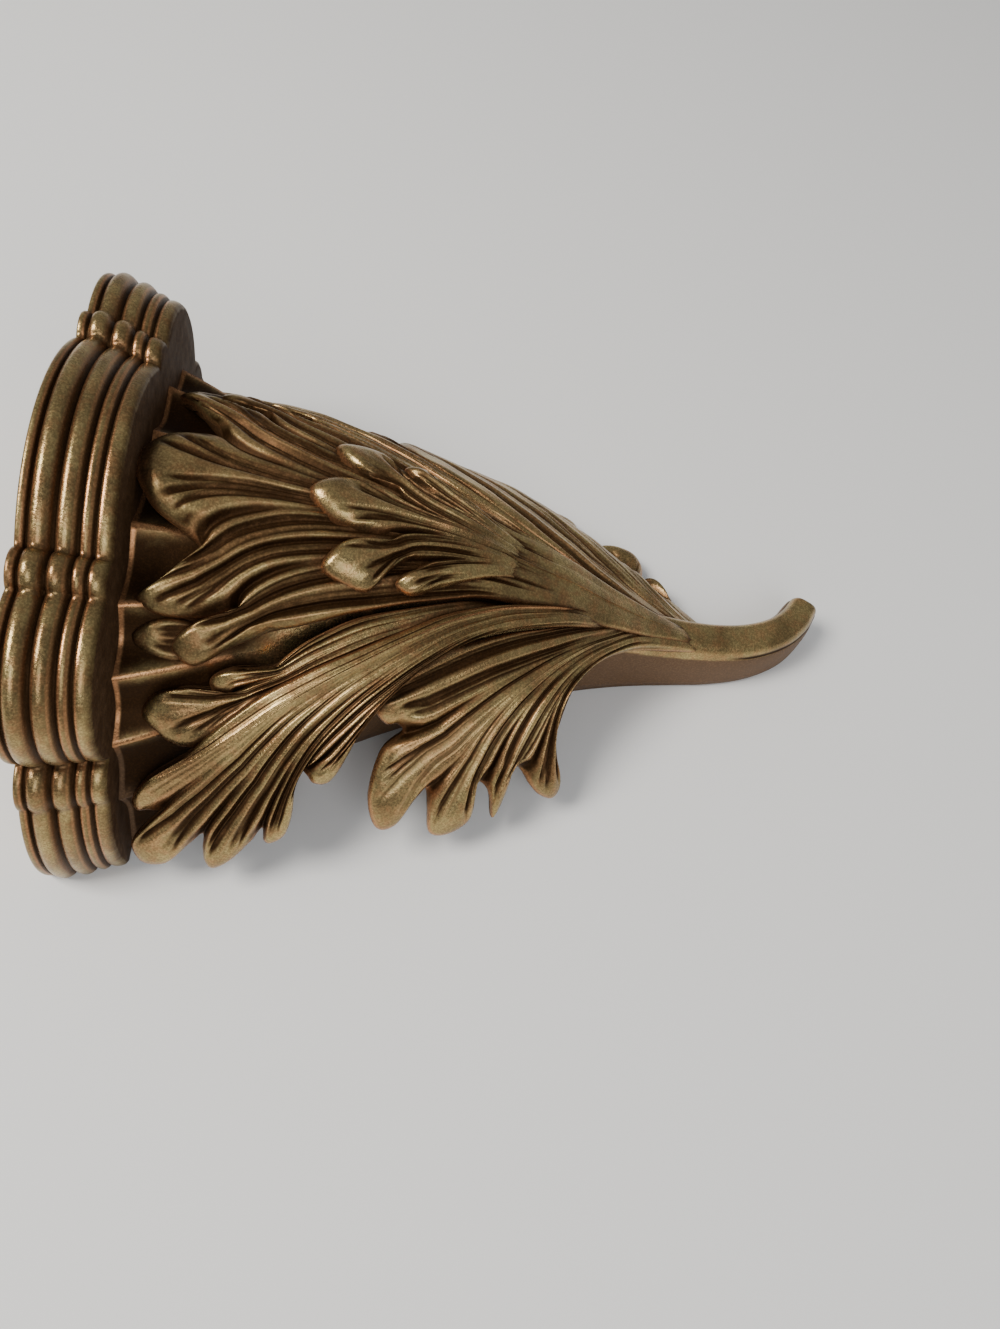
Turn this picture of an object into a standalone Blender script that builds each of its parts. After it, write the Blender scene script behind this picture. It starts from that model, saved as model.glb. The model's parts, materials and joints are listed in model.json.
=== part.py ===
"""Wall corbel: a gilded acanthus bracket cast in one piece.

A lobed and beaded shelf moulding stands on a bell that narrows to a stem, and
the stem ends in a short tail that curls sideways.  Fans of acanthus lobes
spread from the stem over the face of the bell.  The back is flat, to lie
against a wall, and the origin is the wall mount on that back.

Sizes are in millimetres and become metres when a mesh is made.  A place on
the foliage is given as (x, drop): x across the wall, and the drop below the
top of the shelf.  Its distance from the wall comes from the bell's own form.
"""
import bpy
import bmesh
import numpy as np
from math import cos, pi, sin

MM = 0.001

# The whole corbel
TOP_HEIGHT = 40.0
WALL_HALF_WIDTH = 80.5
SHELF_THICKNESS = 20.4

# Plan of the shelf: corners between the lobes as (x, distance from the wall)
SIDE_CORNER = (76.0, 37.0)
DIAGONAL_BACK_CORNER = (68.0, 48.0)
DIAGONAL_FRONT_CORNER = (42.0, 84.0)
FRONT_CORNER = (32.0, 86.0)
SIDE_LOBE_BULGE = 4.5
BEAD_BULGE = 3.2
DIAGONAL_LOBE_BULGE = 15.0
FRONT_LOBE_BULGE = 12.0

# Moulding of the shelf, from the top down: (height, how far it swells)
BANDS = ((2.6, 0.8), (5.4, 2.2), (5.0, 2.0), (3.2, 1.2), (4.2, 0.9))
MOULDING_INSET = 4.8
TOP_EDGE_INSET = 1.2
BAND_ROUNDNESS = 0.6
BAND_STEPS = 3
OUTLINE_STEPS = (4, 3, 6, 3, 8, 3, 6, 3, 4)

# The bell's face: drop, distance from the wall at the middle, half width
FACE_DROPS = (20, 60, 100, 120, 133, 146, 160, 175, 190, 235)
FACE_DEPTHS = (80, 73, 61, 52.6, 46, 38, 30, 24, 19, 17)
FACE_HALF_WIDTHS = (84, 83, 73, 66, 59, 50, 38, 24, 18, 16)
FACE_ROUNDNESS = 1.0

# The core behind the leaves, and the stem and tail below it: drop, x,
# lean from the vertical in degrees, half width, depth, squareness
CORE_RINGS = (
    (17, 0, 0, 71, 75, 0.80),
    (28, 0, 0, 65, 73, 0.80),
    (40, 0, 0, 57, 70, 0.78),
    (55, 0, 0, 47, 67, 0.75),
    (72, 0, 0, 37, 64, 0.70),
    (90, 0, 0, 28, 59, 0.66),
    (106, 0, 0, 21.5, 53.5, 0.63),
    (120, 0, 0, 16.5, 48, 0.60),
    (134, 0.5, 0, 12.5, 41.5, 0.58),
    (146, 1, 0, 10, 34.5, 0.56),
    (157, 2, 0, 8.6, 28.5, 0.55),
    (167, 3, 0, 8, 24.5, 0.55),
    (178, 3.8, 4, 7.4, 21.5, 0.55),
    (189, 5, 11, 7.1, 19.5, 0.55),
    (200, 7.5, 22, 6.8, 18, 0.55),
    (210, 12, 38, 6.4, 17, 0.55),
    (217, 18, 52, 6.0, 16, 0.57),
    (221.5, 24.5, 60, 5.5, 15, 0.60),
)
CORE_SIDES = 22
SCALLOPS = 11
SCALLOP_DEPTH = 4.0
SCALLOP_END = 46.0

# Leaves: a root is thick and lies below the bell's face, a tip is thin and
# rolls back towards it
ROOT_THICKNESS = 11.3
TIP_THICKNESS = 3.8
ROOT_LIFT = -8.0
ROOT_SINK_END = 0.4
TIP_ROLL = 2.5
TIP_ROLL_START = 0.8
LOBE_ROUNDNESS = 0.65
RIB_WIDTH = 0.16
LOBE_COLUMNS = 4
FAN_ROWS = 9
ROWS_TOWARDS_TIP = 1.5
LEAFLET_COLUMNS = 4
LEAFLET_ROWS = 6
RIM_AT_TIP = 0.2
RIM_AT_SIDES = 0.083
RIM_AT_ROOT = 0.025
WALL_BLOCK = (400.0, 30.0, 500.0)
RIM_WELD = 0.00002

# Each fan of lobes: its root from first to last vein, the free edge it starts
# with, then for each lobe its tip, the bend its veins turn at and the notch
# after it.  All are (x, drop).  The last notch is the fan's far edge.
LOWER_LEFT_FAN = {
    "root": ((-1, 168), (0, 150)),
    "edge": ((-36, 134), (-19, 138)),
    "lobes": (
        ((-51, 137), (-31, 118), (-47, 124)),
        ((-61, 120), (-36, 111), (-53, 115)),
        ((-67, 106), (-40, 104), (-57, 99)),
        ((-68, 84), (-44, 98), (-47, 90)),
        ((-47, 81), (-43, 96), (-39, 84)),
    ),
    "last_bend": (-42, 95),
    "lift": 0.5,
    "rib": (0.72, 2.0),
    "crown": 4.0,
}
UPPER_LEFT_FAN = {
    "root": ((-3, 158), (0, 148)),
    "edge": ((-44, 77), (-25, 90)),
    "lobes": (
        ((-61, 69), (-29, 82), (-58, 64)),
        ((-74, 61), (-32, 72), (-68, 56)),
        ((-80, 44), (-34, 63), (-71, 42)),
        ((-79, 24), (-34, 63), (-69, 32)),
        ((-68, 22), (-31, 73), (-59, 38)),
    ),
    "last_bend": (-26, 74),
    "lift": 3.0,
    "rib": (0.86, 3.0),
    "crown": 3.5,
}
LOWER_RIGHT_FAN = {
    "root": ((6, 180), (3, 150)),
    "edge": ((24, 172), (14, 172)),
    "lobes": (
        ((38, 168), (22, 160), (34, 158)),
        ((48, 152), (27, 142), (45, 142)),
        ((58, 133), (32, 122), (53, 121)),
        ((66, 107), (38, 106), (56, 98)),
        ((62, 84), (42, 98), (43, 86)),
    ),
    "last_bend": (40, 96),
    "lift": 0.0,
    "rib": (0.6, 2.0),
    "crown": 4.0,
}
UPPER_RIGHT_FAN = {
    "root": ((5, 157), (2, 147)),
    "edge": ((44, 77), (25, 90)),
    "lobes": (
        ((61, 71), (29, 82), (58, 65)),
        ((73, 62), (32, 72), (68, 57)),
        ((79, 46), (34, 63), (70, 43)),
        ((79, 26), (34, 63), (68, 34)),
        ((68, 24), (31, 73), (59, 38)),
    ),
    "last_bend": (26, 74),
    "lift": -1.0,
    "rib": (0.86, 2.0),
    "crown": 3.5,
}
CROWN_FAN = {
    "root": ((-12, 124), (10, 124)),
    "edge": ((-38, 57), (-24, 86)),
    "lobes": (
        ((-40, 31), (-32, 72), (-29, 46)),
        ((-31, 21), (-26, 72), (-16, 37)),
        ((-1, 20), (-3, 72), (14, 37)),
        ((30, 22), (26, 72), (29, 46)),
        ((40, 32), (32, 72), (38, 57)),
    ),
    "last_bend": (24, 86),
    "lift": 1.5,
    "rib": (0.5, 1.0),
    "crown": 5.0,
}
FANS = (LOWER_LEFT_FAN, UPPER_LEFT_FAN, LOWER_RIGHT_FAN, UPPER_RIGHT_FAN, CROWN_FAN)

# Single leaflets: root, bend, tip, half width, lift at the root and the tip
LEAFLETS = (
    ((-40, 64), (-49, 46), (-53, 24), 7.6, -4, 3),
    ((-35, 66), (-41, 54), (-44, 41), 4.0, -3, 4),
    ((-31, 66), (-31, 50), (-40, 31), 6.2, -3, 6),
    ((-34, 46), (-38, 34), (-39, 24), 5.0, -6, 1),
    ((-3, 112), (-2, 88), (-15, 64), 8.4, -3, 7),
    ((-8, 120), (-14, 102), (-17, 82), 5.2, -3, 5),
    ((2, 112), (10, 86), (4, 60), 8.0, -3, 5),
    ((5, 120), (15, 100), (17, 82), 5.2, -3, 4),
    ((40, 64), (49, 46), (53, 25), 7.6, -4, 3),
    ((32, 66), (35, 48), (43, 34), 5.8, -3, 5),
)


def clear_scene():
    for old in list(bpy.data.objects):
        bpy.data.objects.remove(old, do_unlink=True)


def smooth_curve(at, knots, values):
    """A smooth curve through the knots, with slopes from their neighbours."""
    knots = np.asarray(knots, float)
    values = np.asarray(values, float)
    at = np.clip(np.asarray(at, float), knots[0], knots[-1])
    slopes = np.gradient(values, knots)
    low = np.clip(np.searchsorted(knots, at, side="right") - 1, 0, len(knots) - 2)
    span = knots[low + 1] - knots[low]
    u = (at - knots[low]) / span
    return (
        values[low] * (1 + 2 * u) * (1 - u) ** 2
        + slopes[low] * span * u * (1 - u) ** 2
        + values[low + 1] * u * u * (3 - 2 * u)
        + slopes[low + 1] * span * u * u * (u - 1)
    )


def face_depth(x, drop):
    """Distance from the wall of the bell's face."""
    across = np.abs(x) / smooth_curve(drop, FACE_DROPS, FACE_HALF_WIDTHS)
    across = np.clip(across, 0.0, 0.985)
    middle = smooth_curve(drop, FACE_DROPS, FACE_DEPTHS)
    return middle * (1 - across ** 2) ** FACE_ROUNDNESS


def to_world(x, away, drop):
    """Millimetres across, away from the wall and down become a metre point."""
    return np.stack([x * MM, -away * MM, (TOP_HEIGHT - drop) * MM], axis=-1)


def arc(start, end, bulge, steps):
    """Points on a round arc from start towards end, swelling to the outside."""
    start = np.array(start)
    end = np.array(end)
    chord = end - start
    half = np.linalg.norm(chord) / 2
    along = chord / (2 * half)
    outward = np.array([along[1], -along[0]])
    radius = (half ** 2 + bulge ** 2) / (2 * bulge)
    sweep = np.arcsin(half / radius)
    centre = (start + end) / 2 - outward * (radius - bulge)
    angles = np.linspace(-sweep, sweep, steps, endpoint=False)
    return [centre + radius * (outward * cos(a) + along * sin(a)) for a in angles]


def shelf_outline():
    """Half outlines of the lobes and beads, mirrored into the whole plan."""
    right = [(WALL_HALF_WIDTH, 0.0), SIDE_CORNER, DIAGONAL_BACK_CORNER]
    right += [DIAGONAL_FRONT_CORNER, FRONT_CORNER]
    left = [(-x, away) for x, away in reversed(right)]
    corners = [np.array(c) for c in right + left]
    bulges = [SIDE_LOBE_BULGE, BEAD_BULGE, DIAGONAL_LOBE_BULGE, BEAD_BULGE]
    bulges = bulges + [FRONT_LOBE_BULGE] + bulges[::-1]
    points = []
    for start, end, bulge, count in zip(corners, corners[1:], bulges, OUTLINE_STEPS):
        points += arc(start, end, bulge, count)
    points.append(corners[-1])
    return np.array(points)


def moulding_profile():
    """(drop, inset) down the edge of the shelf, one swelling for each band."""
    profile = [(0.0, TOP_EDGE_INSET)]
    top = 0.0
    for height, swell in BANDS:
        for step in range(1, BAND_STEPS + 1):
            part = step / BAND_STEPS
            drop = top + height * part
            inset = TOP_EDGE_INSET + MOULDING_INSET * drop / SHELF_THICKNESS
            if step < BAND_STEPS:
                inset -= swell * sin(pi * part) ** BAND_ROUNDNESS
            profile.append((drop, inset))
        top += height
    return profile


def grid(columns, rows):
    """A flat grid as a bmesh, with its (s, t) places from 0 to 1."""
    mesh = bmesh.new()
    bmesh.ops.create_grid(mesh, x_segments=columns, y_segments=rows, size=1.0)
    mesh.verts.ensure_lookup_table()
    places = np.array([v.co[:2] for v in mesh.verts]) * 0.5 + 0.5
    return mesh, places[:, 0], places[:, 1]


def move_to(verts, points):
    for vert, point in zip(verts, points):
        vert.co = point


def finish(mesh, name):
    bmesh.ops.recalc_face_normals(mesh, faces=mesh.faces)
    if mesh.calc_volume(signed=True) < 0:
        bmesh.ops.reverse_faces(mesh, faces=mesh.faces)
    data = bpy.data.meshes.new(name)
    mesh.to_mesh(data)
    mesh.free()
    return bpy.data.objects.new(name, data)


def close_loops(mesh):
    """Fills every open edge loop of a mesh with one face."""
    edges = [e for e in mesh.edges if e.is_boundary]
    bmesh.ops.holes_fill(mesh, edges=edges, sides=0)


def make_shelf():
    outline = shelf_outline()
    profile = np.array(moulding_profile())
    mesh, s, t = grid(len(outline) - 1, len(profile) - 1)
    column = np.rint(s * (len(outline) - 1)).astype(int)
    row = np.rint(t * (len(profile) - 1)).astype(int)
    scale = 1 - profile[row, 1] / WALL_HALF_WIDTH
    x = outline[column, 0] * scale
    away = outline[column, 1] * scale
    move_to(mesh.verts, to_world(x, away, profile[row, 0]))
    last = len(outline) - 1
    bottom = len(profile) - 1
    table = {(c, r): v for c, r, v in zip(column, row, mesh.verts)}
    rims = [[table[c, r] for c in range(last + 1)] for r in (0, bottom)]
    back = [table[0, r] for r in range(bottom + 1)]
    back += [table[last, r] for r in range(bottom, -1, -1)]
    for loop in rims + [back]:
        mesh.faces.new(loop)
    return finish(mesh, "corbel")


def make_core():
    rings = np.array(CORE_RINGS, float)
    mesh, s, t = grid(CORE_SIDES, len(rings) - 1)
    row = np.rint(t * (len(rings) - 1)).astype(int)
    drop, x, lean, half_width, depth, square = rings[row].T
    turn = s * pi
    fade = np.clip((SCALLOP_END - drop) / (SCALLOP_END - SHELF_THICKNESS), 0, 1)
    cut = 1 - SCALLOP_DEPTH * fade * np.abs(np.sin(SCALLOPS * turn)) / half_width
    side = np.sign(np.cos(turn)) * np.abs(np.cos(turn)) ** square
    across = half_width * cut * side
    away = depth * cut * np.sin(turn).clip(0, 1) ** square
    lean = np.radians(lean)
    place = to_world(x + across * np.cos(lean), away, drop - across * np.sin(lean))
    move_to(mesh.verts, place)
    columns = {(c, r): v for c, r, v in zip(np.rint(s * CORE_SIDES).astype(int), row, mesh.verts)}
    for r in range(len(rings) - 1):
        corners = (columns[0, r], columns[0, r + 1])
        corners += (columns[CORE_SIDES, r + 1], columns[CORE_SIDES, r])
        mesh.faces.new(corners)
    close_loops(mesh)
    return finish(mesh, "core_and_tail")


def bend(start, middle, end, t):
    """A point on the curve from start to end that turns towards the middle."""
    return (1 - t) ** 2 * start + 2 * t * (1 - t) * middle + t * t * end


def rounded_rim(*distances):
    """0 on the rim and 1 inside, falling off like a quarter circle."""
    rim = 1.0
    for distance in distances:
        near = 1 - np.clip(distance, 0, 1)
        rim = rim * np.sqrt(1 - near * near)
    return rim


def fan_surface(fan, s, t):
    """World points of a fan's face for the places (s, t)."""
    lobes = fan["lobes"]
    count = len(lobes)
    t = 1 - (1 - t) ** ROWS_TOWARDS_TIP
    lobe = np.minimum((s * count).astype(int), count - 1)
    across = 2 * (s * count - lobe) - 1
    side = np.sin(pi / 2 * across)
    notches = np.array([fan["edge"][0]] + [row[2] for row in lobes], float)
    tips = np.array([row[0] for row in lobes], float)
    bends = [fan["edge"][1]] + [row[1] for row in lobes] + [fan["last_bend"]]
    bends = np.array(bends, float)
    bend_places = [0] + [(i + 0.5) / count for i in range(count)] + [1]
    first, second = notches[lobe], notches[lobe + 1]
    base = first + (second - first) * (side[:, None] + 1) / 2
    reach = np.cos(pi / 2 * across).clip(0, 1) ** LOBE_ROUNDNESS
    end = base + (tips[lobe] - (first + second) / 2) * reach[:, None]
    middle = np.stack([np.interp(s, bend_places, bends[:, k]) for k in (0, 1)], 1)
    root = np.array(fan["root"][0]) + np.subtract(*fan["root"][::-1]) * s[:, None]
    place = bend(root, middle, end, t[:, None])
    rib_place, rib_height = fan["rib"]
    rib = rib_height * np.exp(-((s - rib_place) / RIB_WIDTH) ** 2) * np.sin(pi * t ** 0.7)
    crown = fan["crown"] * t ** 1.5 * (np.cos(pi / 2 * across).clip(0, 1) - 0.5)
    rise = np.sin(pi / 2 * np.clip(t / ROOT_SINK_END, 0, 1))
    roll = TIP_ROLL * np.clip((t - TIP_ROLL_START) / (1 - TIP_ROLL_START), 0, 1) ** 2
    lift = ROOT_LIFT + (fan["lift"] - ROOT_LIFT) * rise + rib + crown - roll
    x, drop = place.T
    return to_world(x, face_depth(x, drop) + lift, drop)


def leaflet_surface(leaflet, s, t):
    """World points of a single leaflet's face for the places (s, t)."""
    root, middle, tip, half_width, root_lift, tip_lift = leaflet
    root, middle, tip = (np.array(p, float) for p in (root, middle, tip))
    t = t[:, None]
    centre = bend(root, middle, tip, t)
    along = (1 - t) * (middle - root) + t * (tip - middle)
    along = along / np.linalg.norm(along, axis=1, keepdims=True)
    across = 2 * s[:, None] - 1
    width = half_width * (0.4 + 0.6 * np.sin(pi / 2 * np.clip(t / 0.6, 0, 1)))
    width = width * np.sqrt(1 - 0.97 * np.clip((t - 0.62) / 0.38, 0, 1) ** 2)
    sideways = np.stack([-along[:, 1], along[:, 0]], 1)
    x, drop = (centre + sideways * across * width).T
    lift = root_lift + (tip_lift - root_lift) * np.sin(pi / 2 * t ** 0.7)
    lift = lift + 0.3 * half_width * (0.6 - across ** 2) - TIP_ROLL * t ** 6
    return to_world(x, face_depth(x, drop) + lift[:, 0], drop)


def make_leaf(name, surface, columns, rows):
    """A closed leaf: the face, its underside and a rounded rim between."""
    mesh, s, t = grid(columns, rows)
    step = 0.002
    here = surface(s, t)
    along_s = surface(np.minimum(s + step, 1), t) - surface(np.maximum(s - step, 0), t)
    along_t = surface(s, np.minimum(t + step, 1)) - surface(s, np.maximum(t - step, 0))
    normal = np.cross(along_s, along_t)
    normal /= np.linalg.norm(normal, axis=1, keepdims=True) + 1e-12
    normal *= -np.sign(normal[:, 1].mean())
    rim = rounded_rim((1 - t) / RIM_AT_TIP, s / RIM_AT_SIDES, (1 - s) / RIM_AT_SIDES,
                      t / RIM_AT_ROOT)[:, None]
    thickness = (ROOT_THICKNESS + (TIP_THICKNESS - ROOT_THICKNESS) * t)[:, None] * MM
    face = here - normal * thickness / 2 * (1 - rim)
    under = face - normal * thickness * rim
    copy = bmesh.ops.duplicate(mesh, geom=mesh.verts[:] + mesh.edges[:] + mesh.faces[:])
    under_verts = [v for v in copy["geom"] if isinstance(v, bmesh.types.BMVert)]
    move_to(mesh.verts[:len(here)], face)
    move_to(under_verts, under)
    bmesh.ops.remove_doubles(mesh, verts=mesh.verts, dist=RIM_WELD)
    return finish(mesh, name)


def make_leaves():
    leaves = []
    for number, fan in enumerate(FANS):
        def surface(s, t, fan=fan):
            return fan_surface(fan, s, t)
        columns = LOBE_COLUMNS * len(fan["lobes"])
        leaves.append(make_leaf(f"fan_{number}", surface, columns, FAN_ROWS))
    for number, leaflet in enumerate(LEAFLETS):
        def surface(s, t, leaflet=leaflet):
            return leaflet_surface(leaflet, s, t)
        leaves.append(make_leaf(f"leaflet_{number}", surface, LEAFLET_COLUMNS, LEAFLET_ROWS))
    return leaves


def make_wall_block():
    """The space behind the wall plane, which is cut away."""
    block = bmesh.new()
    bmesh.ops.create_cube(block, size=1.0)
    size = np.array(WALL_BLOCK) * MM
    bmesh.ops.scale(block, vec=size, verts=block.verts)
    bmesh.ops.translate(block, vec=(0, size[1] / 2, 0), verts=block.verts)
    return finish(block, "wall_block")


def add_boolean(target, tool, operation):
    tool.hide_render = True
    tool.display_type = "WIRE"
    modifier = target.modifiers.new(operation.title() + " " + tool.name, "BOOLEAN")
    modifier.operation = operation
    modifier.solver = "MANIFOLD"
    modifier.object = tool


def largest_shell(mesh):
    """Deletes the slivers left where the rims of two leaves graze each other."""
    unseen = set(mesh.verts)
    shells = []
    while unseen:
        shell = {unseen.pop()}
        front = shell
        while front:
            front = {e.other_vert(v) for v in front for e in v.link_edges} - shell
            shell = shell | front
        unseen -= shell
        shells.append(shell)
    shells.sort(key=len)
    slivers = [v for shell in shells[:-1] for v in shell]
    bmesh.ops.delete(mesh, geom=slivers, context="VERTS")


def cast_in_one(shelf, pieces, block):
    """Fuses the pieces into the shelf and cuts the back flat, as one mesh."""
    for piece in pieces:
        add_boolean(shelf, piece, "UNION")
    add_boolean(shelf, block, "DIFFERENCE")
    depsgraph = bpy.context.evaluated_depsgraph_get()
    mesh = bmesh.new()
    mesh.from_mesh(shelf.evaluated_get(depsgraph).to_mesh())
    shelf.modifiers.clear()
    largest_shell(mesh)
    mesh.to_mesh(shelf.data)
    mesh.free()


def gilded_material():
    material = bpy.data.materials.new("Antique gold paint")
    material.use_nodes = True
    shader = material.node_tree.nodes["Principled BSDF"]
    shader.inputs["Base Color"].default_value = (0.30, 0.19, 0.08, 1.0)
    shader.inputs["Metallic"].default_value = 0.8
    shader.inputs["Roughness"].default_value = 0.42
    return material


def main():
    clear_scene()
    parts = bpy.data.collections.new("Wall corbel")
    tools = bpy.data.collections.new("Cutters and joined shapes")
    for collection in (parts, tools):
        bpy.context.scene.collection.children.link(collection)
    corbel = make_shelf()
    corbel.data.materials.append(gilded_material())
    parts.objects.link(corbel)
    pieces = [make_core()] + make_leaves()
    block = make_wall_block()
    for tool in pieces + [block]:
        tools.objects.link(tool)
    cast_in_one(corbel, pieces, block)


main()
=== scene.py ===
"""Wall corbel: the carved leaves, moulding and antique gilding of a gilded acanthus bracket.

Sizes are in millimetres and become metres when a mesh is made.  A place on the carving is
given as (x, drop): x across the wall, and the drop below the top of the shelf.  Its distance
from the wall comes from the form of the bell that the leaves lie on.
"""
import json
import bpy
import bmesh
import numpy as np
from bpy.props import FloatProperty, FloatVectorProperty, IntProperty, PointerProperty
from math import cos, pi, radians, sin
from mathutils import Matrix, Vector
from mathutils.bvhtree import BVHTree
from types import SimpleNamespace

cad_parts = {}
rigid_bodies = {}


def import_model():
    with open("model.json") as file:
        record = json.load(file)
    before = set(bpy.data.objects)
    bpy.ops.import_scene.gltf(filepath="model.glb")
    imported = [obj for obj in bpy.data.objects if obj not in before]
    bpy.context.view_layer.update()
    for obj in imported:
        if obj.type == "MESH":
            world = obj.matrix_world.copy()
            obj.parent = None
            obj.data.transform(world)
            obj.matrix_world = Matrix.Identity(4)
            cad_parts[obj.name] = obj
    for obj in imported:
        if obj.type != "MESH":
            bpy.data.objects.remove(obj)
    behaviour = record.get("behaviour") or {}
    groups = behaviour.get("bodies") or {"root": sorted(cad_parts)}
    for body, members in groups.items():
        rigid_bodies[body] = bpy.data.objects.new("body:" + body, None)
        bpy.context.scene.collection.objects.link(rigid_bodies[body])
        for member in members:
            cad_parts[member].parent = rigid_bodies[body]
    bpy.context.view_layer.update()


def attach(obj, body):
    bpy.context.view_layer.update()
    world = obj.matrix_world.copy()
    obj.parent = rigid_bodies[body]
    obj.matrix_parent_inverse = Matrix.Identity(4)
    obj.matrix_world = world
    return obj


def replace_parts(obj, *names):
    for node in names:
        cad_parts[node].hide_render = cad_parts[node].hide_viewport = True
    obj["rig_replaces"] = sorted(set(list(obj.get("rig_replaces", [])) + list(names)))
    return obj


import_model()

bl_info = {
    "name": "Gilded wall corbel",
    "version": (1, 0, 0),
    "blender": (4, 5, 0),
    "location": "3D View > Sidebar > Corbel",
    "description": "Carves and gilds an acanthus wall corbel",
    "category": "Add Mesh",
}

MM = 0.001
TOP_HEIGHT = 40.0
WALL_HALF_WIDTH = 80.5
SHELF_THICKNESS = 20.4

# Plan of the shelf: corners between the lobes as (x, distance from the wall)
SIDE_CORNER = (76.0, 37.0)
DIAGONAL_BACK_CORNER = (68.0, 48.0)
DIAGONAL_FRONT_CORNER = (42.0, 84.0)
FRONT_CORNER = (32.0, 86.0)
SIDE_LOBE_BULGE = 4.0
BEAD_BULGE = 3.2
DIAGONAL_LOBE_BULGE = 14.9
FRONT_LOBE_BULGE = 11.9

# Moulding from the top down: (height, how far it swells)
BANDS = ((2.6, 0.8), (5.4, 2.2), (5.0, 2.0), (3.2, 1.2), (4.2, 0.9))
MOULDING_INSET = 4.8
TOP_EDGE_INSET = 1.2

# The bell's face: drop, distance from the wall at the middle, half width
FACE_DROPS = (20, 60, 100, 120, 133, 146, 160, 175, 190, 235)
FACE_DEPTHS = (80, 73, 61, 52.6, 46, 38, 30, 24, 19, 17)
FACE_HALF_WIDTHS = (84, 83, 73, 66, 59, 50, 38, 24, 18, 16)

# Bell, stem and tail: drop, x, lean in degrees, half width, depth, squareness
CORE_RINGS = (
    (17, 0, 0, 71, 75, 0.80),
    (28, 0, 0, 65, 73, 0.80),
    (40, 0, 0, 57, 70, 0.78),
    (55, 0, 0, 47, 67, 0.75),
    (72, 0, 0, 37, 64, 0.70),
    (90, 0, 0, 28, 59, 0.66),
    (106, 0, 0, 21.5, 53.5, 0.63),
    (120, 0, 0, 16.5, 48, 0.60),
    (134, 0.5, 0, 12.5, 41.5, 0.58),
    (146, 1, 0, 10, 34.5, 0.56),
    (157, 2, 0, 8.6, 28.5, 0.55),
    (167, 3, 0, 8, 24.5, 0.55),
    (178, 3.8, 4, 7.4, 21.5, 0.55),
    (189, 5, 11, 7.1, 19.5, 0.55),
    (200, 7.5, 22, 6.8, 18, 0.55),
    (210, 12, 38, 6.4, 17, 0.55),
    (217, 18, 52, 6.0, 16, 0.57),
    (221.5, 24.5, 60, 5.5, 15, 0.60),
)

# The neck under the shelf: its scallops and the ridges between them
SCALLOPS = 11
SCALLOP_DEPTH = 4.0
SCALLOP_END = 46.0
# How narrow the copper on the neck's ridges is, a painted highlight.
RIDGE_POWER = 0.28
NECK_GLAZE_END = 60.0

# The crease between the tail's front and its flanks: where across it, how deep and wide,
# and how bare of gilding the flanks are
CREASE_PLACE = 0.86
CREASE_DEPTH = 0.05
CREASE_WIDTH = 0.03
FLANK_BARE = 0.85

# Leaves: how far from the root a leaf rises, how its tips roll, the eyes at its notches,
# the reach of the valleys from the free edge, and where the flutes lie across a lobe
RISE_LENGTH = 45.0
TIP_ROLL = 2.5
ROLL_REACH = 6.0
# The eyes are deep enough to take full umber, painted shade for the gaps between lobes.
EYE_DEPTH = 1.9
EYE_WIDTH = 0.16
EYE_REACH = 3.0
VALLEY_START = 5.0
VALLEY_REACH = 18.0
FLUTES = (-0.88, -0.68, -0.42, 0.40, 0.66, 0.87)
FLUTE_WANDER = 0.14
LIP_HEIGHT = 0.3
# The crown fan's painted shade begins this far from its root.
CROWN_SHADE_START = 35.0
# Copper, partly rubbed gilding and partly painted highlight, runs this far in from a free edge.
RUB_AND_HIGHLIGHT_WIDTH = 1.5

# Paint: the layers on every point, painted shade on undersides, band feet and soffit, the
# glaze on the moulding, and the rays that measure how sheltered a point is, for painted shade
PAINT_LAYERS = ("cut", "rub_and_highlight", "bare")
UNDERSIDE_SHADE = 0.75
SOFFIT_PRIMER_AND_SHADE = 0.8
BAND_GLAZE = 0.15
BAND_FOOT_SHADE = 0.5
JOINT_WIDTH = 0.35
RAYS = 9
SHELTER_REACH = 0.009

# Each fan: the two borders that run up from its root to its first and last notch, and
# its free edge as notches with five places round the lobe between each two of them.
# Its rib is (place across, height, width), its thickness is at the root and the tip, its
# bunch holds the veins to the rib, bare is the length from the root without grooves, and
# crown is the swell of its lobes.  One fan's near side stands higher by near_lift, and one
# is painted darker over its outer part, as painted shade.
LOWER_LEFT_FAN = {
    "near": ((0, 188), (-3.5, 174), (-8, 161), (-13, 151.5), (-19.5, 143.5), (-28, 137)),
    "far": ((3.5, 186), (3, 170), (0, 157), (-6, 146), (-14.5, 128.5), (-22.5, 110.5),
            (-30.5, 95)),
    "notches": ((-38, 133.5), (-46.5, 125.5), (-52.3, 114.5), (-56.3, 99), (-46.8, 91),
                (-39, 83)),
    "lobes": (
        ((-42, 134.5), (-46.5, 138.5), (-50, 137), (-50.5, 132.5), (-49, 129)),
        ((-48, 122), (-53, 121.5), (-58.5, 119), (-55, 117.5), (-53, 116.2)),
        ((-54, 112.2), (-60, 112.3), (-64, 106.5), (-64.5, 101.2), (-60, 100)),
        ((-59.5, 95.5), (-65, 91), (-66, 86), (-60.5, 83.2), (-51.5, 85.5)),
        ((-45.5, 89), (-46.3, 86), (-44.5, 83), (-42, 83.5), (-40.3, 85)),
    ),
    "root_lift": -3.5,
    "lift": 0.5,
    "rib": (0.62, 1.0, 0.10),
    "bunch": 1.2,
    "thickness": (5.5, 3.2),
    "bare": 12,
    "crown": 2.1,
}
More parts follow.
